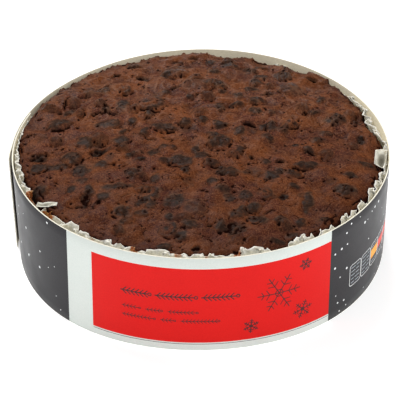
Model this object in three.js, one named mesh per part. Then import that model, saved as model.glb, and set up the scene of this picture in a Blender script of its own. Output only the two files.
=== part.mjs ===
// A round rich fruit cake as it is sold: baked in a pleated greaseproof case,
// with a printed card band glued round it. Three pieces, one inside the other:
//   cake         the baked cake, solid right through, with a domed and lumpy crust
//   paper_liner  the cup of pleated paper that the cake was baked in
//   card_band    one strip of card, wrapped once round and lapped on itself at the left
//
// Millimetres, +Z up. The origin is the middle of the band's footprint, on the table.
// Angles are in degrees, counter-clockwise from +X, so -90 is the printed front.

import * as THREE from "three";

// ---- Driving dimensions -------------------------------------------------

const BAND_HEIGHT = 52.6;
const CARD = 0.6;
const GAP = 0.3;

// Nothing here is quite a circle. Each lobe is [waves round the ring, depth, angle of its peak].
const BAND_BASE = { mean: 90.8, lobes: [[2, 0.3, 71], [3, 0.6, 0], [4, 0.8, 41]] };
const BAND_RIM = { mean: 91, lobes: [[1, 0.3, 25], [2, 0.6, 55], [3, 0.7, -33]] };
const BAND_CENTRE_X = 0.4;

// The cake's own middle, from the middle of the footprint: the lap and a bulge at the back
// make the band lopsided.
const CAKE_MIDDLE = [0.3, -0.8];

// The strip starts under its own other end, goes once round and laps over its start.
const STRIP_START = -200;
const STRIP_END = 186;
const LAP_RISES = [125, 158];
const LAP_SPRINGS = [178, 186];
const LAP_SPRING = 0.8;
const STRIP_STEPS = 100;

const CAKE_FLOOR = 1.1;
const CAKE_BASE_RADIUS = 86.2;
const CAKE_HEEL = 1.6;

// Where the side meets the crust: its radius, and the height that the crust has risen to there.
const CRUST_RADIUS = { mean: 88.1, lobes: [[1, 0.6, -8], [6, 0.4, -8]] };
const CRUST_RISEN = { mean: 52.3, lobes: [[1, 0.4, 157], [2, 0.4, -33], [6, 0.75, 34]] };
const CRUST_SHOULDER = 3.6;
const CROWN_TOP = 57.6;
const CROWN_ROUNDNESS = 2.4;
const CRUST_RINGS = 28;
const RINGS_TIGHTEN = 1.35;

const SWELLS = 5;
const SWELL_HEIGHT = 0.28;
const SWELL_LENGTHS = [17, 38];

const SMALL_FRUIT = 80;
const SMALL_FRUIT_SIZES = [5, 9];
const SMALL_FRUIT_RISE = 0.75;
const FRUIT_REACH = 80;

const PLEATS = 74;
const PLEAT_UNEVEN = 0.6;
const PLEAT_POINTS = [0, 0.4, 0.72];
const PLEAT_OUT = [0, 0.62, 1];
const PLEAT_BASE_SHARE = 0.45;
const PAPER = 0.35;
const PAPER_CLEARS_CARD = 0.45;
const PAPER_FLOOR = 0.4;
const PAPER_EDGE = 51.3;
const PAPER_EDGE_UNEVEN = 1.7;
const PAPER_LEVELS = [9, 30];
const PAPER_LOW = { depth: 5, middle: 110, half: 62 };

// Fruit and breaks that stand out in the crust, each as
// [middle x, middle y, size across, size front to back, rise (or sink, below zero)].
const NOTABLE_FRUIT = [
  [-24, 32, 15, 16, 1.3], [-13, 63, 12, 14, 1.5], [-2, 49, 15, 19, 1.5], [-54, 43, 12, 7, 1.1],
  [-47, 24, 17, 6, -1.2], [-69, 16, 13, 11, 1.4], [-18, 10, 14, 9, 1.3], [-49, 1, 10, 10, 1.3],
  [-38, -1, 9, 8, 1.3], [16, 73, 11, 9, 1.4], [9, 50, 8, 10, 1.1], [28, 35, 10, 8, 1.3],
  [35, 12, 6, 12, 1.3], [44, 14, 9, 7, 1.1], [68, 22, 8, 8, 1.2], [9, -2, 11, 14, 1.4],
  [45, 49, 15, 12, 1.4], [-77, -9, 9, 8, -1.5], [-76, -19, 10, 7, 1.2], [-61, -14, 10, 11, 1.4],
  [-48, -9, 11, 7, -1.5], [-9, -19, 12, 9, 1.2], [-53, -47, 6, 12, -2.2], [-36, -56, 8, 9, 1.1],
  [-12, -49, 10, 11, 1.2], [-2, -56, 12, 14, 1.4], [-14, -70, 9, 11, 1.3], [31, -44, 8, 10, 1],
  [27, -63, 9, 7, 1.5], [16, -70, 11, 12, -1.9], [68, -39, 10, 10, 1.3], [52, -11, 10, 5, -1.7],
  [51, -21, 13, 6, 1.4], [60, 57, 11, 10, 1.3],
];

const CRUST_COLOUR = 0x5a3829;
const PAPER_COLOUR = 0xcdc7b4;
const CARD_COLOUR = 0x515051;

// ---- Small helpers ------------------------------------------------------

const radians = THREE.MathUtils.degToRad;
const { clamp, lerp, smoothstep } = THREE.MathUtils;

// A small repeatable generator: the same seed always gives the same cake.
function makeRandom(seed) {
  let state = seed >>> 0;
  return function random(low = 0, high = 1) {
    state = (Math.imul(state, 1664525) + 1013904223) >>> 0;
    return low + (high - low) * (state / 4294967296);
  };
}

function lobed(ring, angle) {
  let value = ring.mean;
  for (const [waves, depth, peak] of ring.lobes) {
    value += depth * Math.cos(waves * (angle - radians(peak)));
  }
  return value;
}

// Outer face of the card at an angle and a height, before the lap lifts it.
function bandRadius(angle, height) {
  return lerp(lobed(BAND_BASE, angle), lobed(BAND_RIM, angle), height / BAND_HEIGHT);
}

// The cake's straight side, from its base out to where the crust's shoulder begins.
function sideRadius(angle, height) {
  const shoulder = lobed(CRUST_RISEN, angle) - CRUST_SHOULDER;
  return lerp(CAKE_BASE_RADIUS, lobed(CRUST_RADIUS, angle), Math.min(height / shoulder, 1));
}

function polar(radius, angle, height, centreX = 0) {
  return new THREE.Vector3(centreX + radius * Math.cos(angle), radius * Math.sin(angle), height);
}

// Joins two neighbouring rings of points, the lower or outer one first. A ring of one
// point is a pole, and a ring with six points fewer is the next one in on a disc.
function stitch(lower, upper, faces, otherWay) {
  const [n, m] = [lower.length, upper.length];
  if (n === 1 || m === 1 || n === m) {
    for (let j = 0; j < Math.max(n, m); j++) {
      const [here, next] = [lower[j % n], lower[(j + 1) % n]];
      const [above, aboveNext] = [upper[j % m], upper[(j + 1) % m]];
      if (n > 1) faces.push(here, next, otherWay ? above : aboveNext);
      if (m > 1) faces.push(otherWay ? next : here, aboveNext, above);
    }
    return;
  }
  for (let sector = 0; sector < 6; sector++) {
    for (let j = 0; j < n / 6; j++) {
      const outer = sector * (n / 6) + j;
      const inner = sector * (m / 6) + j;
      faces.push(lower[outer], lower[(outer + 1) % n], upper[inner % m]);
      if (j < m / 6) faces.push(lower[(outer + 1) % n], upper[(inner + 1) % m], upper[inner % m]);
    }
  }
}

// A closed skin through rings of points that run from one pole to the other. From the ring
// turnsBack on, its quads are split the other way: where a thin wall turns back down inside
// itself, its two faces then stay the same distance apart.
function ringedSolid(rings, turnsBack = rings.length) {
  const points = [];
  const numbered = rings.map((ring) => ring.map((point) => points.push(point) - 1));
  const faces = [];
  for (let i = 1; i < numbered.length; i++) {
    stitch(numbered[i - 1], numbered[i], faces, i >= turnsBack);
  }
  return solidFrom(points, faces);
}

function solidFrom(points, faces) {
  const geometry = new THREE.BufferGeometry().setFromPoints(points);
  geometry.setIndex(faces);
  geometry.computeVertexNormals();
  return geometry;
}

function ringOf(count, pointAt) {
  return Array.from({ length: count }, (_, i) => pointAt(i, (2 * Math.PI * i) / count));
}

function namedMesh(name, geometry, color, roughness) {
  const material = new THREE.MeshStandardMaterial({ color, roughness, metalness: 0 });
  const mesh = new THREE.Mesh(geometry, material);
  mesh.name = name;
  return mesh;
}

// ---- The cake -----------------------------------------------------------

// Long, low swells of the batter: a few plane waves, each with its own way and length.
function makeSwells(random) {
  return Array.from({ length: SWELLS }, () => {
    const way = random(0, Math.PI);
    const pitch = (2 * Math.PI) / random(...SWELL_LENGTHS);
    return { x: pitch * Math.cos(way), y: pitch * Math.sin(way), start: random(0, 2 * Math.PI) };
  });
}

// Small fruit between the notable ones, spread on a sunflower spiral and jogged a little.
function scatterFruit(random) {
  const goldenTurn = Math.PI * (3 - Math.sqrt(5));
  return Array.from({ length: SMALL_FRUIT }, (_, i) => {
    const out = FRUIT_REACH * Math.sqrt((i + 0.5) / SMALL_FRUIT);
    const angle = i * goldenTurn + random(-0.3, 0.3);
    const across = random(...SMALL_FRUIT_SIZES);
    const deep = random(...SMALL_FRUIT_SIZES);
    const rise = SMALL_FRUIT_RISE * random(-0.5, 1);
    return [out * Math.cos(angle), out * Math.sin(angle), across, deep, rise];
  });
}

function makeCrustHeight() {
  const random = makeRandom(31);
  const swells = makeSwells(random);
  const fruit = [...NOTABLE_FRUIT, ...scatterFruit(random)];
  return function crustHeight(x, y) {
    const angle = Math.atan2(y, x);
    const out = Math.min(Math.hypot(x, y) / lobed(CRUST_RADIUS, angle), 1);
    let z = lerp(CROWN_TOP, lobed(CRUST_RISEN, angle), out ** CROWN_ROUNDNESS);
    for (const swell of swells) {
      z += SWELL_HEIGHT * Math.sin(swell.x * x + swell.y * y + swell.start);
    }
    for (const [fruitX, fruitY, across, deep, rise] of fruit) {
      const far = ((x - fruitX) / (across / 2)) ** 2 + ((y - fruitY) / (deep / 2)) ** 2;
      if (far < 1) z += rise * (1 - far) ** 2;
    }
    return z;
  };
}

// The crust turns down into the side over its last few millimetres, as a quarter of an ellipse.
function shoulderDrop(inFromEdge) {
  const into = clamp(1 - inFromEdge / CRUST_SHOULDER, 0, 1);
  return CRUST_SHOULDER * (1 - Math.sqrt(1 - into ** 2));
}

function cake() {
  const crustHeight = makeCrustHeight();
  const around = 6 * CRUST_RINGS;
  const rings = [
    [new THREE.Vector3(0, 0, CAKE_FLOOR)],
    ringOf(around, (_, a) => polar(CAKE_BASE_RADIUS - CAKE_HEEL, a, CAKE_FLOOR)),
    ringOf(around, (_, a) => polar(CAKE_BASE_RADIUS, a, CAKE_FLOOR + CAKE_HEEL)),
  ];
  for (let k = CRUST_RINGS; k > 0; k--) {
    const share = 1 - (1 - k / CRUST_RINGS) ** RINGS_TIGHTEN;
    rings.push(ringOf(6 * k, (_, a) => {
      const edge = lobed(CRUST_RADIUS, a);
      const point = polar(edge * share, a, 0);
      point.z = crustHeight(point.x, point.y) - shoulderDrop(edge * (1 - share));
      return point;
    }));
  }
  rings.push([new THREE.Vector3(0, 0, crustHeight(0, 0))]);
  return namedMesh("cake", ringedSolid(rings), CRUST_COLOUR, 0.8);
}

// ---- The paper liner ----------------------------------------------------

// Uneven knife pleats: each station of the paper wall has its angle, how far out between
// the cake and the card it stands, and the height of its top edge.
function pleatStations() {
  const random = makeRandom(7);
  const widths = Array.from({ length: PLEATS }, () => 1 + random(-PLEAT_UNEVEN, PLEAT_UNEVEN));
  const whole = widths.reduce((sum, width) => sum + width, 0);
  const stations = [];
  let start = 0;
  for (const width of widths) {
    PLEAT_POINTS.forEach((point, i) => {
      const angle = (2 * Math.PI * (start + point * width)) / whole;
      const out = PLEAT_OUT[i] * random(0.75, 1);
      stations.push({ angle, out, top: paperTop(angle, random) });
    });
    start += width;
  }
  return stations;
}

// The paper's edge stands about level with the card, but sinks below the crust at the back.
function paperTop(angle, random) {
  const degrees = THREE.MathUtils.radToDeg(angle);
  const { depth, middle, half } = PAPER_LOW;
  const low = 1 - smoothstep(Math.abs(degrees - middle), half - 20, half);
  return PAPER_EDGE + random(-1, 1) * PAPER_EDGE_UNEVEN - depth * low;
}

function cardInside(angle, height) {
  const radius = bandRadius(angle, height) - CARD;
  return radius + BAND_CENTRE_X * Math.cos(angle);
}

function paperLiner() {
  const stations = pleatStations();
  const inside = (station, height) => {
    const near = sideRadius(station.angle, height) + GAP;
    const far = cardInside(station.angle, height) - PAPER_CLEARS_CARD - PAPER;
    const share = height < PAPER_LEVELS[0] ? PLEAT_BASE_SHARE : 1;
    return lerp(near, far, station.out * share);
  };
  const ringAt = (heightOf, thick) => stations.map((station) => {
    const height = heightOf(station);
    return polar(inside(station, height) + thick, station.angle, height);
  });
  const levels = [...PAPER_LEVELS.map((level) => () => level), (station) => station.top];
  const rings = [
    [new THREE.Vector3(0, 0, PAPER_FLOOR)],
    ringAt(() => PAPER_FLOOR, PAPER),
    ...levels.map((level) => ringAt(level, PAPER)),
    ...levels.reverse().map((level) => ringAt(level, 0)),
    ringAt(() => PAPER_FLOOR + PAPER, 0),
    [new THREE.Vector3(0, 0, PAPER_FLOOR + PAPER)],
  ];
  const liner = ringedSolid(rings, rings.length / 2);
  return namedMesh("paper_liner", liner, PAPER_COLOUR, 0.7);
}

// ---- The card band ------------------------------------------------------

// How far the strip stands off the plain ring: nothing at first, one card and a gap
// where it laps over its own start, and a little more at its sprung free end.
function lapLift(turn) {
  const lapped = smoothstep(turn, ...LAP_RISES) * (CARD + GAP);
  return lapped + smoothstep(turn, ...LAP_SPRINGS) * LAP_SPRING;
}

function cardBand() {
  const points = [];
  const faces = [];
  for (let i = 0; i <= STRIP_STEPS; i++) {
    const turn = lerp(STRIP_START, STRIP_END, i / STRIP_STEPS);
    const angle = radians(turn);
    for (const [height, into] of [[0, 0], [BAND_HEIGHT, 0], [BAND_HEIGHT, CARD], [0, CARD]]) {
      const radius = bandRadius(angle, height) + lapLift(turn) - into;
      points.push(polar(radius, angle, height, BAND_CENTRE_X));
    }
  }
  for (let i = 0; i < STRIP_STEPS; i++) {
    for (let side = 0; side < 4; side++) {
      const [here, up] = [4 * i + side, 4 * i + ((side + 1) % 4)];
      faces.push(here, here + 4, up + 4, here, up + 4, up);
    }
  }
  const end = 4 * STRIP_STEPS;
  faces.push(0, 1, 2, 0, 2, 3);
  faces.push(end, end + 2, end + 1, end, end + 3, end + 2);
  return namedMesh("card_band", solidFrom(points, faces), CARD_COLOUR, 0.45);
}

// ---- The whole ----------------------------------------------------------

const fruitCake = new THREE.Group();
fruitCake.add(cake(), paperLiner(), cardBand());
fruitCake.position.set(...CAKE_MIDDLE, 0);

export default fruitCake;
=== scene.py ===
# %% [markdown]
# # A rich fruit cake in its paper and card
#
# The cake was baked in a cup of pleated greaseproof paper, and a printed strip of card is
# glued round it for the shop. The solids of those three pieces are already made at their
# real size. This notebook gives each of them the surface that the real thing has, piece by
# piece, and never moves or resizes them.

# %% Load the solids
import math

import bpy
import numpy as np
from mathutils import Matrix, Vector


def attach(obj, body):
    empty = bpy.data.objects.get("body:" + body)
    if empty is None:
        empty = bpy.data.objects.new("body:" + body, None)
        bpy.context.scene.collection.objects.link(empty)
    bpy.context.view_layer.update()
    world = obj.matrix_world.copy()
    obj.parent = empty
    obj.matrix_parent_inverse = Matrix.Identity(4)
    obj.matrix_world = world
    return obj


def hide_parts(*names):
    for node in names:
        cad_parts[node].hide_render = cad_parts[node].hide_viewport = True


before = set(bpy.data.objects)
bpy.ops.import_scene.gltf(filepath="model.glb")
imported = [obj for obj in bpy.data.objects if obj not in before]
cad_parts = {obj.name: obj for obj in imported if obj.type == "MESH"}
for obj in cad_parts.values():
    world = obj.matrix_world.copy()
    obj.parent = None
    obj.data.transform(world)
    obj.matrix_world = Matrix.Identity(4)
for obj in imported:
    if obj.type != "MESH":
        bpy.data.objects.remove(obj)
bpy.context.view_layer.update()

# %% [markdown]
# ## Sizes that everything shares
#
# The solids were drawn in millimetres from a few named sizes. The same names and values
# are used here, so that a dressed piece lands exactly where its solid is. Blender works in
# metres, and one factor at the very end of each piece turns millimetres into metres.

# %% Shared sizes
MM = 0.001
CAKE_MIDDLE = np.array([0.3, -0.8, 0.0])

BAND_HEIGHT = 52.6
CARD = 0.6
GAP = 0.3
BAND_BASE = {"mean": 90.8, "lobes": [(2, 0.3, 71), (3, 0.6, 0), (4, 0.8, 41)]}
BAND_RIM = {"mean": 91.0, "lobes": [(1, 0.3, 25), (2, 0.6, 55), (3, 0.7, -33)]}
BAND_CENTRE_X = 0.4
STRIP_START = -200
STRIP_END = 186
LAP_RISES = (125, 158)
LAP_SPRINGS = (178, 186)
LAP_SPRING = 0.8

CAKE_FLOOR = 1.1
CAKE_BASE_RADIUS = 86.2
CAKE_HEEL = 1.6
CRUST_RADIUS = {"mean": 88.1, "lobes": [(1, 0.6, -8), (6, 0.4, -8)]}
CRUST_RISEN = {"mean": 52.3, "lobes": [(1, 0.4, 157), (2, 0.4, -33), (6, 0.75, 34)]}
CRUST_SHOULDER = 3.6
CROWN_TOP = 57.6
CROWN_ROUNDNESS = 2.4

print("cake", 2 * CRUST_RADIUS["mean"], "mm across, card", BAND_HEIGHT, "mm high")

# %% Shared curves
def step_between(value, low, high):
    """0 below low, 1 above high, and a smooth rise between."""
    share = np.clip((np.asarray(value, float) - low) / (high - low), 0, 1)
    return share * share * (3 - 2 * share)


def window(angle, middle, flat, end):
    """1 within flat degrees of a middle one, falling smoothly to 0 at end degrees."""
    off = np.abs((np.degrees(angle) - middle + 180) % 360 - 180)
    return 1 - step_between(off, flat, end)


def toward(degrees):
    """A step of length 1 in a plane, in the direction of an angle."""
    return np.array([math.cos(math.radians(degrees)), math.sin(math.radians(degrees))])


def ring_points(radius, angle, height):
    """Points round the cake at a radius, an angle in radians and a height."""
    return np.stack([radius * np.cos(angle), radius * np.sin(angle), height + 0 * angle], -1)


def lobed(ring, angle):
    """A radius or height that waves a little round the ring, at an angle in radians."""
    value = ring["mean"] + 0 * angle
    for waves, depth, peak in ring["lobes"]:
        value = value + depth * np.cos(waves * (angle - math.radians(peak)))
    return value


def band_radius(angle, height):
    """Outer face of the card, before the lap lifts it."""
    share = height / BAND_HEIGHT
    return lobed(BAND_BASE, angle) * (1 - share) + lobed(BAND_RIM, angle) * share


def side_radius(angle, height):
    """The cake's straight side, from its base out to where the crust's shoulder begins."""
    share = np.minimum(height / (lobed(CRUST_RISEN, angle) - CRUST_SHOULDER), 1)
    return CAKE_BASE_RADIUS * (1 - share) + lobed(CRUST_RADIUS, angle) * share


def lap_lift(turn):
    """How far the strip stands off the plain ring where it laps over its own start."""
    lapped = step_between(turn, *LAP_RISES) * (CARD + GAP)
    return lapped + step_between(turn, *LAP_SPRINGS) * LAP_SPRING


front_rim = band_radius(-math.pi / 2, BAND_HEIGHT)
print("card radius at the front rim:", round(float(front_rim), 2), "mm")

# %% [markdown]
# ## Camera and light
#
# The camera comes first, so that every later step can be judged from it. A pack like this
# is seen from about 35 degrees above with a long lens, which keeps the ellipse of the rim
# gentle. The light is a studio's: one large soft lamp above and behind, which lets the
# bumps of the crust throw small shadows forwards, two tall panels at the sides that put a
# sheen on the card where it turns away, and a weak one in front.

# %% Camera
CAMERA_PLACE = (0.0, -849.8, 616.5)
CAMERA_LOOKS_DOWN = 35.0
CAMERA_LENS = 190.4
SENSOR = 36.0
CAMERA_SEES = (0.05, 20)


def into_scene(name, data):
    """A new object in the scene for a camera, lamp or mesh."""
    made = bpy.data.objects.new(name, data)
    bpy.context.scene.collection.objects.link(made)
    return made


camera = into_scene("camera", bpy.data.cameras.new("camera"))
camera.data.lens = CAMERA_LENS
camera.data.sensor_width = SENSOR
camera.data.clip_start, camera.data.clip_end = CAMERA_SEES
camera.location = (np.array(CAMERA_PLACE) + CAKE_MIDDLE) * MM
camera.rotation_euler = (math.radians(90 - CAMERA_LOOKS_DOWN), 0, 0)
bpy.context.scene.camera = camera
bpy.context.scene.view_settings.view_transform = "Standard"
print("camera at", [round(v, 4) for v in camera.location])

# %% Lamps and sky
LAMPS = {
    "back_panel": {"place": (-0.35, 0.75, 1.15), "size": (0.9, 0.6), "power": 20},
    "front_panel": {"place": (0.2, -1.2, 1.15), "size": (1.2, 0.7), "power": 11.2},
    "left_panel": {"place": (-1.25, -0.15, 0.45), "size": (0.7, 0.9), "power": 2.6},
    "right_panel": {"place": (1.2, -0.05, 0.4), "size": (0.7, 0.9), "power": 5.6},
}
LAMPS_AIM = (0, 0, 0.03)
SKY_STRENGTH = 0.28


def add_lamp(name, place, size, power):
    """A rectangular soft lamp that faces the middle of the cake."""
    data = bpy.data.lights.new(name, "AREA")
    data.shape = "RECTANGLE"
    data.size, data.size_y = size
    data.energy = power
    lamp = into_scene(name, data)
    lamp.location = place
    aim = Vector(LAMPS_AIM) - lamp.location
    lamp.rotation_euler = aim.to_track_quat("-Z", "Y").to_euler()


for lamp_name, setting in LAMPS.items():
    add_lamp(lamp_name, **setting)

sky = bpy.data.worlds.new("studio")
sky.use_nodes = True
backdrop = sky.node_tree.nodes["Background"].inputs
backdrop["Color"].default_value = (1, 1, 1, 1)
backdrop["Strength"].default_value = SKY_STRENGTH
bpy.context.scene.world = sky
print(len(LAMPS), "lamps, sky strength", SKY_STRENGTH)

# %% [markdown]
# ## Helpers for meshes and materials
#
# Three small tools carry the whole notebook. `make_piece` turns arrays of points and faces
# into an object whose place is in its mesh. `soft_noise` gives smooth hills and hollows of
# a chosen size, for shapes. `Finish` builds a material out of nodes, one short line for
# each node, and always reads the piece's own coordinates in metres.

# %% Mesh helper
def make_piece(name, points, faces, materials=(), slots=None, smooth=True):
    """A mesh object from points in millimetres, measured from the cake's middle."""
    mesh = bpy.data.meshes.new(name)
    placed = (np.asarray(points, float) + CAKE_MIDDLE) * MM
    mesh.from_pydata(placed.tolist(), [], [list(map(int, face)) for face in faces])
    for material in materials:
        mesh.materials.append(material)
    if slots is not None:
        mesh.polygons.foreach_set("material_index", np.asarray(slots, np.int32))
    mesh.polygons.foreach_set("use_smooth", np.full(len(mesh.polygons), smooth))
    mesh.update()
    return into_scene(name, mesh)


def paint(piece, name, values):
    """Stores one number for each point of a piece, for its material to read."""
    layer = piece.data.attributes.new(name, "FLOAT", "POINT")
    layer.data.foreach_set("value", np.asarray(values, np.float32))


def finish_piece(piece, slot, *nodes):
    """Ties a finished piece to the object and hides the solids it stands for; slot is not used."""
    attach(piece, "root")
    if nodes:
        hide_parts(*nodes)
    triangles = sum(len(face.vertices) - 2 for face in piece.data.polygons)
    print(f"{piece.name}: {triangles} triangles")


# %% Noise helper
NOISE_TABLE = 64


def soft_noise(x, y, size, seed):
    """Hills and hollows about `size` across, between about -1 and 1, the same each run."""
    slopes = np.random.default_rng(seed).uniform(0, 2 * math.pi, (NOISE_TABLE, NOISE_TABLE))
    gx, gy = np.asarray(x) / size, np.asarray(y) / size
    cell_x, cell_y = np.floor(gx).astype(int), np.floor(gy).astype(int)
    fx, fy = gx - cell_x, gy - cell_y

    def corner(dx, dy):
        slope = slopes[(cell_x + dx) % NOISE_TABLE, (cell_y + dy) % NOISE_TABLE]
        return np.cos(slope) * (fx - dx) + np.sin(slope) * (fy - dy)

    sx = fx**3 * (fx * (fx * 6 - 15) + 10)
    sy = fy**3 * (fy * (fy * 6 - 15) + 10)
    near = corner(0, 0) * (1 - sx) + corner(1, 0) * sx
    far = corner(0, 1) * (1 - sx) + corner(1, 1) * sx
    return 1.5 * (near * (1 - sy) + far * sy)


def layered_noise(x, y, *layers):
    """A sum of noises, each layer given as its height, its size and its seed."""
    return sum(height * soft_noise(x, y, size, seed) for height, size, seed in layers)


def bell(value, middle, width):
    """1 at the middle value, falling off on both sides like a bell."""
    return np.exp(-(((value - middle) / width) ** 2))


def make_random(seed):
    """The small generator that the solids were made with, so that fruit and pleats agree."""
    state = [seed]

    def random(low=0.0, high=1.0):
        state[0] = (state[0] * 1664525 + 1013904223) % 4294967296
        return low + (high - low) * state[0] / 4294967296

    return random


patch = soft_noise(*np.mgrid[0:50.0, 0:50.0], 9, 1)
print("soft noise runs from", round(patch.min(), 2), "to", round(patch.max(), 2))

# %% Colour and node helpers
def linear(red, green, blue):
    """A colour named by its 0-255 screen values, as the linear light that shaders mix."""
    share = np.array([red, green, blue]) / 255
    light = np.where(share <= 0.04045, share / 12.92, ((share + 0.055) / 1.055) ** 2.4)
    return (*light, 1.0)


def add_node(tree, kind, **values):
    """A node whose settings and sockets take plain values or the outputs of other nodes."""
    made = tree.nodes.new(kind)
    for key, value in values.items():
        if isinstance(getattr(made, key, None), (str, bool)):
            setattr(made, key, value)
            continue
        socket = made.inputs[int(key[1:]) if key[1:].isdigit() else key.replace("_", " ")]
        if isinstance(value, bpy.types.NodeSocket):
            tree.links.new(value, socket)
        else:
            socket.default_value = value
    return made


print("screen grey 128 is", round(float(linear(128, 128, 128)[0]), 3), "in linear light")

# %% Material helper
class Finish:
    """One procedural material under construction."""

    def __init__(self, name, roughness=0.6, **shader):
        self.material = bpy.data.materials.new(name)
        self.material.use_nodes = True
        self.tree = self.material.node_tree
        self.shader = self.tree.nodes["Principled BSDF"]
        self.shader.inputs["Roughness"].default_value = roughness
        for socket, value in shader.items():
            self.shader.inputs[socket.replace("_", " ")].default_value = value
        self.own = self.node("TexCoord", "Object")

    def node(self, kind, output=0, **values):
        """One output of a new shader node."""
        return add_node(self.tree, "ShaderNode" + kind, **values).outputs[output]

    def noise(self, size_mm, detail=2.0, roughness=0.5, stretch=None):
        """Noise with lumps of about size_mm; stretch squeezes it along x, y and z."""
        place = self.node("Mapping", Vector=self.own, Scale=stretch) if stretch else self.own
        return self.node("TexNoise", Vector=place, Scale=1 / (size_mm * MM), Detail=detail,
                         Roughness=roughness)

    def attribute(self, name):
        """A number that `paint` stored on the piece."""
        return self.node("Attribute", "Fac", attribute_name=name)

    def spread(self, value, low, high, to_low=0.0, to_high=1.0):
        """Stretches a value so that low..high becomes to_low..to_high, held at both ends."""
        return self.node("MapRange", Value=value, From_Min=low, From_Max=high, To_Min=to_low,
                         To_Max=to_high)

    def patches(self, size_mm, detail, roughness, low, high, to_low=0.0, to_high=1.0, **more):
        """Patches of noise, stretched so that low..high becomes to_low..to_high."""
        noise = self.noise(size_mm, detail, roughness, **more)
        return self.spread(noise, low, high, to_low, to_high)

    def math(self, operation, a, b):
        """A sum, product or other short calculation."""
        return self.node("Math", operation=operation, _0=a, _1=b)

    def mix(self, share, first, second):
        """First colour where share is 0, second where it is 1."""
        return self.node("Mix", 2, data_type="RGBA", _0=share, _6=first, _7=second)

    def coat(self, under, share, colour, strength=None):
        """Lays a colour, in 0-255 screen values, over another where share is 1."""
        if strength is not None:
            share = self.math("MULTIPLY", share, strength)
        return self.mix(share, under, linear(*colour))

    def pinhole_shade(self, apart_mm, largest):
        """Painted shade of small holes seen from above, about one to a patch of apart_mm, many
        left out.
        """
        cells = add_node(self.tree, "ShaderNodeTexVoronoi", Vector=self.own,
                         Scale=1 / (apart_mm * MM), voronoi_dimensions="2D").outputs
        luck = self.node("SeparateColor", Color=cells["Color"])
        size = self.spread(luck, 0.55, 1.0, -0.05, largest)
        ragged = self.spread(self.noise(0.7), 0.3, 0.7, -0.05, 0.05)
        reach = self.math("SUBTRACT", size, self.math("ADD", cells["Distance"], ragged))
        return self.spread(reach, -0.02, 0.03)

    def bump(self, height, depth_mm, strength, **over):
        """Small relief of the surface; Normal may be a coarser bump that it lies on."""
        return self.node("Bump", Height=height, Distance=depth_mm * MM, Strength=strength, **over)

    def set(self, **sockets):
        """Links outputs to the shader and hands back the finished material."""
        for name, value in sockets.items():
            self.tree.links.new(value, self.shader.inputs[name.replace("_", " ")])
        return self.material


# %% [markdown]
# ## The studio floor
#
# A plain pale sweep, so that only the cake speaks. It isn't part of the object.

# %% Floor
FLOOR_SIDE = 6.0
FLOOR_MOTTLE = 400

floor_finish = Finish("studio_floor", roughness=0.9, Specular_IOR_Level=0.1,
                      Emission_Strength=0.38, Emission_Color=(1, 1, 1, 1))
mottle = floor_finish.noise(FLOOR_MOTTLE)
pale = floor_finish.mix(mottle, linear(249, 249, 249), linear(252, 252, 252))
floor_finish.set(Base_Color=pale)
half = FLOOR_SIDE / 2 / MM
floor = make_piece(
    "studio_floor",
    [(-half, -half, 0), (half, -half, 0), (half, half, 0), (-half, half, 0)],
    [(0, 1, 2, 3)],
    [floor_finish.material],
)
print("floor", FLOOR_SIDE, "m wide")

# %% [markdown]
# ## The crust: where the fruit lies
#
# Nothing on a rich fruit cake is a topping. Raisins, sultanas and halved cherries lie in
# the batter, and the crust bakes over them as a skin. Some push it up as smooth mounds,
# some break through as dark wrinkled lumps, and some burst or sink and leave pits. Each
# notable one is a row under its kind: its middle, its size across and front to back, and its
# turn in degrees where it has one. The small ones between them come from the same seeded
# scatter as the solid's.

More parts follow.
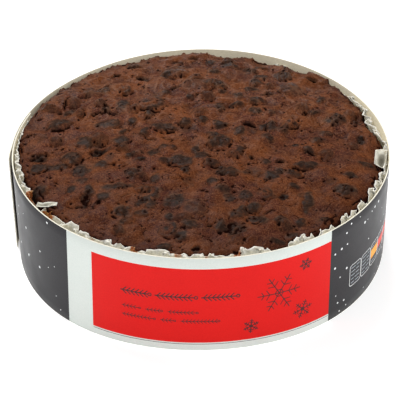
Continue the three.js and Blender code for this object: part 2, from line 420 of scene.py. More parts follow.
# %% Fruit
FRUIT = {
    "ring": [
        (-24, 32, 16, 16), (-37, 47, 8, 8), (44, 14, 9, 8), (-23, -44, 10, 13, -20),
        (-14, -70, 10, 11), (31, -44, 8, 10),
    ],
    "mound": [
        (-13, 63, 13, 14, 10), (-2, 49, 16, 19), (-54, 43, 12, 7, 10), (-49, 1, 10, 10),
        (45, 49, 15, 12), (-2, -56, 13, 14),
    ],
    "raisin": [
        (-33, 72, 8, 6, 20), (-69, 16, 13, 11, 15), (-18, 10, 14, 9, -8), (-7, 13, 7, 7),
        (-38, -1, 10, 9, 10), (9, 50, 8, 10, 20), (43, 62, 7, 7, -20), (28, 35, 10, 8, 5),
        (18, 32, 6, 5), (35, 12, 6, 13), (68, 22, 8, 8, -20), (9, -2, 12, 15),
        (-76, -19, 11, 8, 15), (-61, -14, 11, 12, 30), (-9, -19, 13, 10, -20), (-36, -56, 9, 10),
        (27, -63, 10, 8, -15), (68, -39, 11, 10), (51, -21, 14, 6, 8), (44, -28, 8, 7, 20),
        (14, -28, 10, 9), (57, -61, 7, 4), (42, -71, 7, 5, 20), (24, 71, 5, 4), (76, 21, 4, 7),
        (6, -21, 7, 7), (25, -54, 6, 7),
    ],
    "pit": [
        (-29, 58, 9, 5, -8), (-46, 30, 4, 5), (34, 43, 8, 4), (24, 12, 7, 4, -5),
        (-53, -47, 5, 12, -10), (52, -11, 10, 4), (56, 60, 8, 3, -20), (-11, 76, 7, 4, 5),
        (-3, 80, 7, 3, 5), (-47, 51, 4, 3, 20), (-12, 48, 5, 3), (-42, 64, 5, 2), (-57, -51, 3, 3),
        (-41, -35, 4, 2, 30), (-47, -50, 3, 4, -20), (4, -14, 4, 3), (24, -16, 3, 4),
        (38, -19, 4, 3), (9, -72, 3, 4), (5, -67, 3, 3), (35, -65, 3, 2), (1, -43, 4, 2, -10),
    ],
    "soft": [
        (-17, 44, 6, 7), (-38, 32, 6, 10), (-64, 28, 7, 5), (-45, 14, 15, 8), (-33, 16, 6, 6),
        (2, 16, 6, 6), (16, 72, 9, 5, -10), (7, 67, 6, 7), (28, 55, 8, 7, -10), (10, 29, 5, 8),
        (19, 7, 6, 8), (56, 25, 8, 6), (57, 2, 8, 7, 10), (-66, -20, 10, 6, 10), (-47, -20, 9, 8),
        (-22, -11, 7, 9), (-31, -28, 10, 9), (-55, -32, 8, 6, 20), (-75, -38, 9, 8),
        (-39, -39, 19, 6, 18), (-27, -58, 7, 6), (-12, -49, 11, 12), (-5, -67, 9, 7),
        (14, -47, 7, 7), (17, -59, 8, 7), (50, -48, 5, 15, -5), (79, -16, 8, 6), (34, -30, 9, 8),
        (-5, 38, 5, 4), (-37, 8, 5, 5), (-75, 31, 8, 5, 10), (-13, -8, 4, 5), (-2, -8, 5, 7),
        (6, 76, 6, 4, -10), (31, 72, 7, 3, -10), (35, 24, 4, 7), (10, 13, 7, 7, -20),
        (31, 13, 6, 5), (19, -10, 5, 8), (60, 39, 5, 5), (61, 8, 6, 5), (46, -5, 4, 3),
        (11, 44, 5, 4), (-21, -32, 5, 6), (-33, -14, 6, 5), (-28, -18, 6, 3), (-60, -39, 5, 6),
        (-45, -46, 7, 6), (-26, -50, 7, 7), (-14, -61, 5, 6), (-7, -26, 5, 5), (-35, -63, 5, 6),
        (-16, -81, 7, 5), (5, -36, 6, 6), (31, -19, 6, 6), (22, -28, 6, 5), (44, -38, 6, 5),
        (71, -26, 7, 6), (47, -63, 6, 6), (35, -76, 7, 4),
    ],
    "crack": [
        (-66, 36, 13, 3, 80), (-47, 24, 17, 4, 4), (-24, 0, 8, 3, -10), (-83, 8, 8, 3, 35),
        (-15, 1, 10, 3, -12), (32, -57, 7, 3, 20), (50, -31, 8, 2, -30),
    ],
    "crag": [
        (78, 5, 5, 8, 20), (-77, -9, 10, 8), (-48, -9, 12, 6, 10), (16, -70, 12, 12),
        (-2, -83, 4, 6), (39, -45, 4, 6),
    ],
}
print({kind: len(rows) for kind, rows in FRUIT.items()})

# %% Swells and small fruit
SMALL_FRUIT = 80
SMALL_FRUIT_SIZES = (5, 9)
SMALL_FRUIT_RISE = 0.75
FRUIT_REACH = 80
SWELLS = 5
SWELL_HEIGHT = 0.28
SWELL_LENGTHS = (17, 38)


def make_swells(random, count):
    """Long low waves of the batter, each with its own way, length and start."""
    swells = []
    for _ in range(count):
        way = random(0, math.pi)
        pitch = 2 * math.pi / random(*SWELL_LENGTHS)
        start = random(0, 2 * math.pi)
        swells.append((pitch * math.cos(way), pitch * math.sin(way), start))
    return swells


def scatter_small_fruit(random):
    """Small fruit on a sunflower spiral, jogged a little, as rows that start with their kind."""
    golden_turn = math.pi * (3 - math.sqrt(5))
    rows = []
    for i in range(SMALL_FRUIT):
        out = FRUIT_REACH * math.sqrt((i + 0.5) / SMALL_FRUIT)
        angle = i * golden_turn + random(-0.3, 0.3)
        across, deep = random(*SMALL_FRUIT_SIZES), random(*SMALL_FRUIT_SIZES)
        rise = SMALL_FRUIT_RISE * random(-0.5, 1)
        kind = "speck" if rise < -0.05 else "soft" if rise < 0.45 else "mound"
        rows.append((kind, out * math.cos(angle), out * math.sin(angle), across, deep))
    return rows


crust_random = make_random(31)
crust_swells = make_swells(crust_random, SWELLS)
all_fruit = [(kind, *row) for kind, rows in FRUIT.items() for row in rows]
print(len(all_fruit), "notable fruit and", SMALL_FRUIT, "small ones")
all_fruit += scatter_small_fruit(crust_random)

# %% [markdown]
# ## The crust: its shape
#
# The crust is a height over every point of a disc. It starts from the dome of the solid,
# and each fruit then adds its own profile. Displacing a grid like this, rather than
# sculpting or dropping balls on it, keeps one closed skin with no seams. The same pass
# notes, at every point, how much fruit shows, how deep in a pit or crevice it is, for the
# painted shade there, and where crests take a painted highlight, because the colour needs them.

# %% Profiles of fruit
# Rise of each kind, how flat its top is, the crevice round it, its wrinkles and its darkness.
KINDS = {
    "raisin": (1.5, 2.2, 0.9, 0.35, 1.0),
    "soft": (0.8, 2.0, 0.4, 0.15, 0.95),
    "mound": (2.1, 1.8, 0.5, 0.05, 0.58),
    "ring": (1.6, 2.2, 0.7, 0.1, 1.0),
    "pit": (-0.6, 2.4, 0.0, 0.3, 0.6),
    "crag": (-0.6, 2.2, 0.3, 0.9, 1.0),
    "crack": (0.3, 2.0, 0.0, 0.1, 0.3),
    "speck": (-0.2, 2.0, 0.0, 0.1, 0.5),
}
HOLE_DEPTH = 1.3
CRACK_DEPTH = 1.4
COIL_TURNS = 2.2
COIL_RISE = 0.3


class Crust:
    """Relief, fruit, painted shade of pits and painted highlights of crests over the points of the
    disc, built up feature by feature.
    """

    def __init__(self, x, y):
        self.x, self.y = x, y
        self.warp_x = x + layered_noise(x, y, (1.1, 6.5, 1), (0.35, 2.6, 2))
        self.warp_y = y + layered_noise(x, y, (1.1, 6.5, 3), (0.35, 2.6, 4))
        self.folds = 1 - 2.2 * np.abs(soft_noise(x, y, 3.1, 5))
        self.tears = layered_noise(x, y, (1, 2.4, 6), (0.5, 1.2, 7))
        self.veil = soft_noise(x, y, 3.6, 9)
        self.relief, self.fruit, self.pit, self.crest_highlight = np.zeros((4, len(x)))

    def mark(self, notes, values, close=slice(None)):
        """Keeps the stronger of the old and new mark, everywhere or at the close points."""
        notes[close] = np.maximum(notes[close], values)

    def near(self, at_x, at_y, across, deep, turn):
        """Points near a fruit, and their places in its own frame, where 1 is its outline."""
        reach = 0.85 * max(across, deep) + 3
        close = np.flatnonzero(np.hypot(self.x - at_x, self.y - at_y) < reach)
        dx, dy = self.warp_x[close] - at_x, self.warp_y[close] - at_y
        c, s = toward(turn)
        u = (c * dx + s * dy) / (across / 2)
        v = (c * dy - s * dx) / (deep / 2)
        return close, u, v

    def add(self, kind, at_x, at_y, across, deep, turn=0):
        """One fruit: its mound, its crevice, and the wrinkles, coil or hole of its kind."""
        close, u, v = self.near(at_x, at_y, across, deep, turn)
        rise, flatness, crevice, wrinkles, darkness = KINDS[kind]
        out = np.hypot(u, v)
        torn = self.tears[close]
        luck = 0.5 + 0.5 * math.sin(12.9 * at_x + 78.2 * at_y)
        body = np.clip(1 - (out / 1.12) ** flatness, 0, 1) ** 1.1
        shown = step_between(1.22 - out + 0.3 * self.veil[close], 0, 0.7)
        relief = rise * body - wrinkles * self.folds[close] * body
        # The skin has torn away from the fruit along its front, where its shadow falls, and the
        # torn line is painted dark as shade in the pit mark.
        front = 0.5 - 0.5 * np.sin(np.arctan2(v, u) + 0.9 * (2 * luck - 1))
        thin = 0.7 / min(across, deep) + 0.04
        line = front**1.5 * bell(out, 1.05, thin) * step_between(torn, -0.4, 0.2)
        relief -= crevice * line
        pit = 1.4 * crevice * line
        # Painted shade in the creases of the wrinkles of raisins and rings.
        if kind in ("raisin", "ring"):
            pit = np.maximum(pit, 0.4 * bell(self.folds[close], 1, 0.2) * body)
        if kind == "ring":
            coil = 2 * math.pi * COIL_TURNS * np.hypot(u + 0.25, v - 0.1)
            relief += COIL_RISE * np.cos(coil) * body
            shown = shown * (0.6 + 0.4 * np.cos(coil / 2) * (out < 1.1))
        # Holes and cracks go into the pit mark too, as painted shade inside them.
        if kind in ("pit", "crag"):
            hole = step_between(1.0 - out + 0.6 * torn, 0.25, 0.6)
            if kind == "crag":
                hole = hole * step_between(torn, -0.1, 0.15)
            relief -= HOLE_DEPTH * hole
            pit = np.maximum(pit, hole)
        if kind == "crack":
            path = v - 0.9 * soft_noise(u * across, v * 0, 4, 8)
            slit = bell(path, 0, 0.3) * step_between(1 - np.abs(u), 0, 0.5)
            relief -= CRACK_DEPTH * slit
            pit = np.maximum(pit, slit)
        # Painted highlight on the back rim of a raised fruit, away from its crevice.
        if rise > 0.5:
            crest = bell(out, 0.86, 0.12) * (1 - front) * step_between(torn, -0.4, 0.4)
            self.mark(self.crest_highlight, crest, close)
        self.relief[close] += relief * (0.6 + 0.75 * float(step_between(at_y, -60, 30)))
        self.mark(self.fruit, shown * darkness * (0.85 + 0.3 * luck), close)
        self.mark(self.pit, pit, close)


print(len(KINDS), "kinds of fruit, pit and crack")

# %% The whole crust
PORES = 200
PORES_REACH = 87
PORE_SIZES = (0.8, 1.9)
PORE_DEPTH = 0.8
# Waves, ridges and creases of the skin: height or depth, size and seed of each.
SKIN = ((0.9, 12, 10), (0.4, 5.6, 11), (0.1, 2.6, 12), (0.05, 1.3, 13))
RIDGES = ((0.7, 9, 26), (0.12, 4, 27))
CREASES = ((0.35, 9, 14), (0.3, 6, 15), (0.3, 7.5, 16))


def crust_surface(x, y):
    """The crust over the points x, y of the disc."""
    crust = Crust(x, y)
    for row in all_fruit:
        crust.add(*row)
    crust.relief += layered_noise(x, y, *SKIN)
    share = 0.3 + 0.7 * step_between(y + 30 * soft_noise(x, y, 30, 28), -10, 45)
    for height, size, seed in RIDGES:
        crest = 1 - 2 * np.abs(soft_noise(crust.warp_x, 1.2 * crust.warp_y, size, seed))
        crust.relief += height * (crest - 0.4) * share
        # Painted highlight along the crests of the ridges.
        crust.mark(crust.crest_highlight, share * bell(crest, 1, 0.12))
    for depth, size, seed in CREASES:
        line = bell(soft_noise(x, 1.5 * y, size, seed), 0, 0.05)
        line = line * step_between(soft_noise(x, y, 6, seed + 10), 0.15, 0.4)
        crust.relief -= depth * line
        # Painted shade in the creases.
        crust.mark(crust.pit, 0.8 * line)
    chance = np.random.default_rng(17)
    for _ in range(PORES):
        out, angle = PORES_REACH * math.sqrt(chance.random()), chance.uniform(0, 2 * math.pi)
        across, deep = chance.uniform(*PORE_SIZES, 2)
        centre = (out * math.cos(angle), out * math.sin(angle))
        close, u, v = crust.near(*centre, across, deep, chance.uniform(0, 180))
        hole = np.exp(-(u * u + v * v))
        crust.relief[close] -= PORE_DEPTH * hole
        # Painted shade in the pores.
        crust.mark(crust.pit, 1.15 * hole, close)
    return crust


def crown(x, y):
    """The solid's crown and swells, without its fruit."""
    angle = np.arctan2(y, x)
    out = np.minimum(np.hypot(x, y) / lobed(CRUST_RADIUS, angle), 1)
    z = CROWN_TOP + (lobed(CRUST_RISEN, angle) - CROWN_TOP) * out**CROWN_ROUNDNESS
    for way_x, way_y, start in crust_swells:
        z = z + SWELL_HEIGHT * np.sin(way_x * x + way_y * y + start)
    return z


def shoulder_drop(in_from_edge):
    """How far the rounded shoulder has dropped, this far in from the edge."""
    into = np.clip(1 - in_from_edge / CRUST_SHOULDER, 0, 1)
    return CRUST_SHOULDER * (1 - np.sqrt(1 - into**2))


print("the crown stands", round(float(crown(0.0, 0.0)), 1), "mm up, with", PORES, "pores")

# %% [markdown]
# ## The cake's mesh
#
# A plain polar grid would crowd its points at the middle. Rings that gain six points each
# keep the triangles nearly even all over, down to about half a millimetre, fine enough for
# the wrinkles of a raisin. The side below the crust and the base close the body.

# %% Faces of discs and walls
def disc_faces(k, outer_start, inner_start):
    """Triangles between ring k, of 6k points, and the next ring in."""
    sector, along = np.repeat(np.arange(6), k), np.tile(np.arange(k), 6)
    here = outer_start + sector * k + along
    after = outer_start + (sector * k + along + 1) % (6 * k)
    count = max(1, 6 * (k - 1))
    inner = inner_start + (sector * (k - 1) + along) % count
    inner_after = inner_start + (sector * (k - 1) + along + 1) % count
    first = np.stack([here, after, inner], 1)
    second = np.stack([after, inner_after, inner], 1)[along < k - 1]
    return np.concatenate([first, second])


def wall_faces(lower_start, upper_start, count):
    """Quads between two rings of the same number of points, seen from outside."""
    j = np.arange(count)
    k = (j + 1) % count
    return np.stack([lower_start + j, lower_start + k, upper_start + k, upper_start + j], 1)


def fan_faces(pole, start, count):
    """Triangles between a ring of points and a pole inside it, seen from below."""
    j = np.arange(count)
    return np.stack([0 * j + pole, start + (j + 1) % count, start + j], 1)


def as_faces(*groups):
    """One list of faces from arrays of triangles and quads."""
    return [face for group in groups for face in group.tolist()]


def tube_faces(first, rings, count):
    """Faces of a tube along its rings of points, with its two end caps."""
    starts = first + count * np.arange(rings)
    walls = [wall_faces(start, start + count, count)[:, [0, 3, 2, 1]] for start in starts[:-1]]
    ring = np.arange(count)
    return as_faces(*walls, starts[:1, None] + ring, starts[-1:, None] + ring[::-1])


print("a disc of 3 rings has", sum(len(disc_faces(k, 0, 0)) for k in (1, 2, 3)), "triangles")

# %% The crust's ragged edge
CRUST_CIRCLE = 88
# Height, size and seed of each wave of the lip.
LIP_UNEVEN = ((0.55, 7, 21), (0.5, 2.6, 22), (0.3, 1.3, 29))
LIP_LIMITS = (-0.6, 0.7)
# Places where the crust shrank back: middle angle, half width and depth.
NOTCHES = [(14.5, 11, 3.6), (27, 5, 1.2), (-8.5, 5, 1.6)]
FLAKE = {"angle": 46.5, "flat": 3.2, "half": 4.0, "out": 1.2, "rise": 2.0}


def flake(angle):
    """1 where the torn flake of crust stands out at the back right, 0 elsewhere."""
    return window(angle, FLAKE["angle"], FLAKE["flat"], FLAKE["half"])


def notch(angle):
    """How far the crust has shrunk back from its plain edge, in a few places."""
    back = 0.0
    for middle, half, depth in NOTCHES:
        off = np.abs(np.degrees(angle) - middle)
        back = back + depth * (1 - step_between(off, 0.2 * half, half))
    return back


def lip(angle):
    """How far the torn lip of the crust stands out over the side, ragged all round."""
    x, y, _ = ring_points(CRUST_CIRCLE, angle, 0).T
    out = layered_noise(x, y, *LIP_UNEVEN)
    return np.clip(out, *LIP_LIMITS) + FLAKE["out"] * flake(angle) - notch(angle)


def edge_slit(x, y, in_from_edge):
    """A broken slit just inside the edge, where the top of the crust has lifted and flaked."""
    wander = 2.4 + 1.5 * soft_noise(x, y, 9, 24)
    torn = step_between(soft_noise(x, y, 7, 25), 0.0, 0.3)
    return torn * bell(in_from_edge, wander, 0.5)


lip_all_round = lip(np.radians(np.arange(360.0)))
print("the lip runs from", lip_all_round.min().round(1), "to", lip_all_round.max().round(1), "mm")

# %% The cake's rings and side
CRUST_RINGS = 170
RINGS_TIGHTEN = 1.15
LIP_REACH = 7
SIDE_ROWS = 10
SIDE_SINKS = 0.45


def crust_rings():
    """Places of the crust's rings on the disc, from the lip to the middle."""
    rings = np.arange(CRUST_RINGS, 0, -1)
    starts = np.concatenate([[0], np.cumsum(6 * rings)])
    k = np.repeat(rings, 6 * rings)
    along = np.arange(starts[-1]) - np.repeat(starts[:-1], 6 * rings)
    angle = along * (2 * math.pi / (6 * k))
    angle = np.where(angle > math.pi, angle - 2 * math.pi, angle)
    edge = lobed(CRUST_RADIUS, angle)
    radius = edge * (1 - (1 - k / CRUST_RINGS) ** RINGS_TIGHTEN)
    in_from_edge = np.append(edge - radius, CRUST_RADIUS["mean"])
    radius = radius + lip(angle) * step_between(radius, edge - LIP_REACH, edge)
    x, y, _ = np.append(ring_points(radius, angle, 0), [[0, 0, 0]], 0).T
    return x, y, in_from_edge, starts


def cake_side(rim_x, rim_y, rim_z, first):
    """The side from under the lip down to the heel, the base's pole, and their faces."""
    angle = np.arctan2(rim_y, rim_x)
    rim = np.hypot(rim_x, rim_y)
    x, y, _ = ring_points(CRUST_CIRCLE, angle, 0).T
    rows = []
    for share in np.arange(1, SIDE_ROWS + 1) / SIDE_ROWS:
        z = rim_z * (1 - share) + (CAKE_FLOOR + CAKE_HEEL) * share
        sunk = SIDE_SINKS * step_between(share, 0, 0.12)
        crumb = 0.25 * soft_noise(x + z, y, 4.5, 23) * (1 - share)
        radius = rim * (1 - share) + CAKE_BASE_RADIUS * share - sunk + crumb
        rows.append(ring_points(radius, angle, z))
    rows.append(ring_points(CAKE_BASE_RADIUS - CAKE_HEEL, angle, CAKE_FLOOR))
    rows.append([[0, 0, CAKE_FLOOR]])
    count = len(angle)
    starts = [0] + [first + i * count for i in range(len(rows))]
    faces = [wall_faces(lower, upper, count) for upper, lower in zip(starts, starts[1:-1])]
    return np.concatenate(rows), faces + [fan_faces(starts[-1], starts[-2], count)]


print("points in the crust:", 3 * CRUST_RINGS * (CRUST_RINGS + 1) + 1)

# %% Cake
# How far in from the edge each of these fades, in millimetres.
CALM_EDGE = (0.5, 6)
FLAKE_REACH = (3, 7)
CRUMBS_REACH = (0.6, 2.6)
# Edge darkening, part baked colour and part painted shade by the paper: share, then its fade.
EDGE_BURN_AND_SHADE = ((0.4, 0, 9), (0.6, 0.3, 1.6))
SLIT_DEPTH = 1.0
CRUMBS = ((1, 2.4, 30), (0.6, 1.1, 31))
CRUMBS_STAND = 1.7


def make_cake(material):
    """The whole cake as one closed mesh, with the marks that its finish reads."""
    x, y, in_from_edge, starts = crust_rings()
    crust = crust_surface(x, y)
    slit = SLIT_DEPTH * edge_slit(x, y, in_from_edge)
    crust.relief -= slit
    # The slit is painted dark as well, as the shade inside it.
    crust.mark(crust.pit, slit)
    calm = 0.35 + 0.65 * step_between(in_from_edge, *CALM_EDGE)
    z = crown(x, y) + crust.relief * calm - shoulder_drop(in_from_edge)
    lifted = flake(np.arctan2(y, x)) * (1 - step_between(in_from_edge, *FLAKE_REACH))
    z += FLAKE["rise"] * lifted
    crumbs = np.clip(layered_noise(x, y, *CRUMBS), 0, 1)
    z += CRUMBS_STAND * crumbs * (1 - step_between(in_from_edge, *CRUMBS_REACH))
    count = 6 * CRUST_RINGS
    side, side_faces = cake_side(x[:count], y[:count], z[:count], len(x))
    discs = [disc_faces(CRUST_RINGS - i, *starts[i:i + 2]) for i in range(CRUST_RINGS)]
    points = np.concatenate([np.stack([x, y, z], 1), side])
    cake = make_piece("fruit_cake", points, as_faces(*discs, *side_faces), [material])
    burn_and_shade = sum(share * (1 - step_between(in_from_edge, *reach)) for share, *reach in EDGE_BURN_AND_SHADE)
    # Each mark over the crust, and its one value on the side: the side's relief of -0.5 and rim of
    # 1 paint it darker, partly as shade.
    marks = {"fruit": (np.clip(crust.fruit, 0, 1), 0), "pit": (np.clip(crust.pit, 0, 1), 0.15),
             "crest_highlight": (crust.crest_highlight, 0), "relief": (crust.relief, -0.5), "rim": (burn_and_shade, 1)}
    for name, (values, on_side) in marks.items():
        paint(cake, name, np.concatenate([values, np.full(len(side), on_side)]))
    return cake


# %% [markdown]
# ## The crust's finish
#
# Baked rich fruit cake is a deep red-brown, never one flat brown. Its skin is speckled with
# lighter, sandier crumb, and fruit under the skin shows as a cool blackish stain with a soft
# edge. Light and shade are painted in too: raised skin and crests lighter, hollows darker,
# pits and crevices nearly black as painted shade, the edge and the front darker. The fruit,
# pit and relief notes of the mesh drive the large marks, and noise of three sizes the rest.

# %% Crust finish
def crust_finish():
    """Baked crust: broad and fine patches, then the marks of the mesh, then a faint glaze."""
    finish = Finish("baked_crust")
    broad = finish.patches(26, 3, 0.6, 0.42, 0.58)
    skin = finish.mix(broad, linear(52, 24, 20), linear(76, 37, 16))
    skin = finish.coat(skin, finish.patches(7, 3, 0.6, 0.45, 0.62), (104, 56, 31), 0.5)
    hue = finish.noise(13, 3, 0.6)
    skin = finish.coat(skin, finish.spread(hue, 0.5, 0.62, 0, 0.4), (104, 54, 24))
    skin = finish.coat(skin, finish.spread(hue, 0.48, 0.38, 0, 0.4), (74, 33, 25))
    relief = finish.attribute("relief")
    # Raised skin is painted lighter, as painted light on the ridges.
    skin = finish.coat(skin, finish.spread(relief, 0.1, 2.0), (108, 63, 44), 0.35)
    # Sandy crumb and scorched specks.
    skin = finish.coat(skin, finish.patches(0.6, 2, 0.8, 0.48, 0.66), (146, 94, 62), 0.55)
    skin = finish.coat(skin, finish.patches(1.0, 3, 0.8, 0.54, 0.66), (30, 11, 6), 0.75)
    # Painted shade in the hollows of the skin.
    skin = finish.coat(skin, finish.spread(relief, 0.0, -1.6), (38, 18, 12), 0.6)
    # The front is painted darker, as shade where the dome turns away from the back light, and the
    # far back a little darker too.
    depth = finish.node("SeparateXYZ", 1, Vector=finish.own)
    skin = finish.coat(skin, finish.spread(depth, 0.02, -0.07, 0, 0.32), (44, 22, 18))
    skin = finish.coat(skin, finish.spread(depth, 0.03, 0.08, 0, 0.12), (40, 20, 15))
    # The edge is darker: baked colour, with painted shade where the lip meets the paper.
    skin = finish.coat(skin, finish.attribute("rim"), (36, 15, 9))
    # Fruit under the skin, painted highlights on the crests of folds and fruit, then painted shade
    # in pits and pinholes.
    cloud = finish.patches(2.2, 4, 0.7, 0.3, 0.7, 0.6, 1.5)
    stain = finish.math("MULTIPLY", finish.attribute("fruit"), cloud)
    stain = finish.spread(stain, 0.05, 1.0, 0, 0.9)
    skin = finish.coat(skin, stain, (31, 24, 20))
    skin = finish.coat(skin, finish.attribute("crest_highlight"), (126, 90, 68), 0.34)
    pit = finish.spread(finish.attribute("pit"), 0.25, 0.7)
    pit = finish.math("MAXIMUM", pit, finish.pinhole_shade(4.2, 0.15))
    skin = finish.coat(skin, pit, (22, 7, 4))
    rough = finish.spread(stain, 0, 1, 0.42, 0.36)
    glaze = finish.spread(depth, -0.02, 0.07, 0.02, 0.05)
    shine = finish.math("MULTIPLY", glaze, finish.spread(pit, 0, 1, 1, 0.2))
    coarse = finish.bump(finish.noise(1.5, 3, 0.6), 0.06, 1.0)
    fine = finish.bump(finish.noise(0.6, 2, 0.6), 0.03, 0.7, Normal=coarse)
    return finish.set(Base_Color=skin, Roughness=rough, Normal=fine, Specular_IOR_Level=shine)


fruit_cake = make_cake(crust_finish())
finish_piece(fruit_cake, "crust", "cake")

# %% [markdown]
# ## The paper liner
#
# The baking cup is a disc of greaseproof paper whose wall is folded into knife pleats, so
# that it can stand up round the tin. Each pleat is a flat panel that runs out towards the
# card, doubles back behind the next one and starts again. Cloth simulation could fold it,
# but the folds follow a rule, so the wall is swept along a path worked out pleat by pleat
# from the solid's own widths. The top edge was torn and crushed a little in the tin: it
# rises and dips, leans in over the crust in places, and has drunk some fat and sugar. Two
# torn tongues of it lie loose over the rim.

# %% Pleats
PLEATS = 74
PLEAT_UNEVEN = 0.6
PLEAT_POINTS = (0, 0.4, 0.72)
PAPER_EDGE = 51.3
PAPER_EDGE_UNEVEN = 1.7
PAPER_LOW = {"depth": 5, "middle": 103, "half": 69}
# Along one pleat: how far round it, how far in from card to cake, and its share of the lean.
PLEAT_PATH = [(0.0, 0.06, 0.2), (0.14, 0.26, 0.5), (0.32, 0.5, 0.85), (0.54, 0.76, 1.0),
              (0.76, 0.94, 0.95), (0.9, 1.0, 0.7), (0.97, 0.86, 0.4), (0.86, 0.56, 0.22),
              (0.74, 0.3, 0.14), (0.7, 0.12, 0.1), (0.8, 0.02, 0.08), (0.91, 0.0, 0.12)]


def paper_top(angle, random):
    """Height of the paper's edge at an angle in radians, as the solid has it."""
    low = window(angle, PAPER_LOW["middle"], PAPER_LOW["half"] - 20, PAPER_LOW["half"])
    return PAPER_EDGE + random(-1, 1) * PAPER_EDGE_UNEVEN - PAPER_LOW["depth"] * float(low)


def pleat_stations():
    """Angle, depth, top height, pleat's middle and share of the lean, at points round the wall."""
    random = make_random(7)
    widths = [1 + random(-PLEAT_UNEVEN, PLEAT_UNEVEN) for _ in range(PLEATS)]
    whole = sum(widths)
    stations = []
    start = 0.0
    for width in widths:
        deeps, tops = [], []
        for point in PLEAT_POINTS:
            deeps.append(random(0.75, 1))
            tops.append(paper_top(2 * math.pi * (start + point * width) / whole, random))
        middle = 2 * math.pi * (start + 0.5 * width) / whole
        level = sum(tops) / 3
        for share, deep, leans in PLEAT_PATH:
            angle = 2 * math.pi * (start + share * width) / whole
            top = level + 0.25 * (np.interp(share, PLEAT_POINTS, tops) - level)
            stations.append((angle, deep * deeps[2], top, middle, leans))
        start += width
    return np.array(stations).T


print(PLEATS, "pleats of", len(PLEAT_PATH), "points each")

# %% Tufts and stains of the paper's edge
# Each tuft: its middle angle, half its width, how far it leans in and how far it stands up.
TUFTS = [
    (174, 2.6, 1.4, 0.4), (178.7, 2.6, 1.7, 0.5), (-172, 2.6, 1.7, 0.6), (-165.5, 3, 1.3, 0.5),
    (-157, 3.2, 1.0, 0.3), (-141, 2.6, 0.6, 0.4), (-133, 4.6, 3.0, 0.9), (-124, 4, 0.8, 0.5),
    (-117.2, 2.8, 1.6, 0.6), (-112, 2.6, 1.1, 0.4), (-103, 4, 1.5, 0.9), (-95.5, 3, 0.9, 0.6),
    (-90.8, 3.4, 0.8, 1.5), (-84, 4.5, 0.6, 0.3), (-75.6, 2.6, 3.1, 0.9), (-71.4, 2.6, 2.6, 0.8),
    (-61.8, 2.6, 0.8, 0.1), (-57.2, 2.8, 1.9, 0.8), (-50, 3, 1.2, 0.2), (-40, 3, 1.5, 0.3),
    (-33.5, 3.2, 2.1, 0.5), (-26.5, 3, 1.6, 0.3), (-19.5, 2.6, 2.6, 0.5), (-14, 2.6, 2.0, 0.5),
    (-7, 3, 0.6, -0.6), (2, 3, 0.6, 0.2), (9, 4, 1.8, 1.2), (15, 3, 2.4, 1.8), (21, 3, 1.7, 2.2),
    (27, 4, 2.3, 1.4), (38, 7, 0.4, -3.5), (62.5, 3, 0.3, 4.0),
]
# Torn gaps, rounded runs and grease: middle angle, half width, and depth or strength.
GAPS = [(-149.2, 3.4, 6), (-65.9, 3.3, 3.5), (-53.4, 0.9, 3), (-45.5, 1.3, 2.5), (-30, 0.9, 2),
        (-3.5, 2.4, 3)]
SCALLOPED = [(-92, 44, 0.55), (-172, 26, 0.7)]
GREASE = [(-153, 1.8, 0.75), (-142, 2.6, 1.0), (-109.7, 1.2, 0.8), (-96.5, 0.8, 0.5),
          (-79, 1.2, 0.6), (-123, 1.2, 0.3), (-88, 0.8, 0.4)]
# Where the pleats have opened, and the front run where the edge stands a little higher.
OPEN = (18, 17)
FRONT_RUN = (-90, 125)
FRONT_RISE = 0.8
# Small waves of the edge, and its sharp teeth: height, size and seed.
EDGE_WAVES = ((0.35, 1.6, 36), (0.5, 3.5, 39))
EDGE_TEETH = (2.2, 3.0, 40)
PAPER_CIRCLE = 89
NOISE_CLIMB = 0.8


def plateau(angle, middle, half):
    """1 near a middle angle, falling to 0 over the last third of the half width; degrees."""
    return window(angle, middle, 0.65 * half, 1.1 * half)


def ring_noise(angle, height, size, seed):
    """Noise that closes round the ring: it is read on a circle of the paper's own size."""
    x, y, _ = ring_points(PAPER_CIRCLE, angle, 0).T
    return soft_noise(x + NOISE_CLIMB * height, y, size, seed)


print(len(TUFTS), "tufts and", len(GREASE), "grease stains")

# %% The paper wall
PAPER = 0.16
PAPER_CLEARS_CARD = 0.3
PAPER_CLEARS_CAKE = 0.35
PAPER_FLOOR = 0.4
WALL_SHARES = (0, 0.03, 0.12, 0.35, 0.6, 0.82, 1.0)
FLAP_SHARES = (0.14, 0.28, 0.42, 0.56, 0.7, 0.82, 0.92, 1.0)
FLAP_STARTS = 48.2
LEAN = {"mean": 1.3, "uneven": 1.1, "jitter": 0.35}
# Heights between which the pleats fan out, the tin has crushed them and the crust's lip shows.
PLEATS_FAN = (2, 9)
CRUSHED = (20, 48)
LIP_SHOWS = (44, 50)


def paper_edge():
    """Angle, depth, edge height, lean and opening at points round the wall."""
    angle, deep, top, middle, leans = pleat_stations()
    lean = LEAN["mean"] + LEAN["uneven"] * np.clip(ring_noise(middle, 0, 5, 32), -0.7, 1)
    top = top + FRONT_RISE * plateau(middle, *FRONT_RUN)
    for where, half, inwards, rise in TUFTS:
        share = plateau(middle, where, half)
        lean = lean + (inwards - lean) * share
        top = top + rise * share
    for where, half, depth in GAPS:
        top = top - depth * plateau(angle, where, half)
    for where, half, share in SCALLOPED:
        leans = 1 - (1 - leans) * (1 - share * plateau(middle, where, half))
    lean = lean * (1 + LEAN["jitter"] * ring_noise(middle, 0, 5, 38))
    top = top + (0.3 * lean + 0.4) * leans
    for height, size, seed in EDGE_WAVES:
        top = top + height * ring_noise(angle, 0, size, seed)
    height, size, seed = EDGE_TEETH
    top = top + height * (0.25 - np.abs(ring_noise(angle, 0, size, seed)))
    return angle, deep, top, lean * leans, plateau(middle, *OPEN)


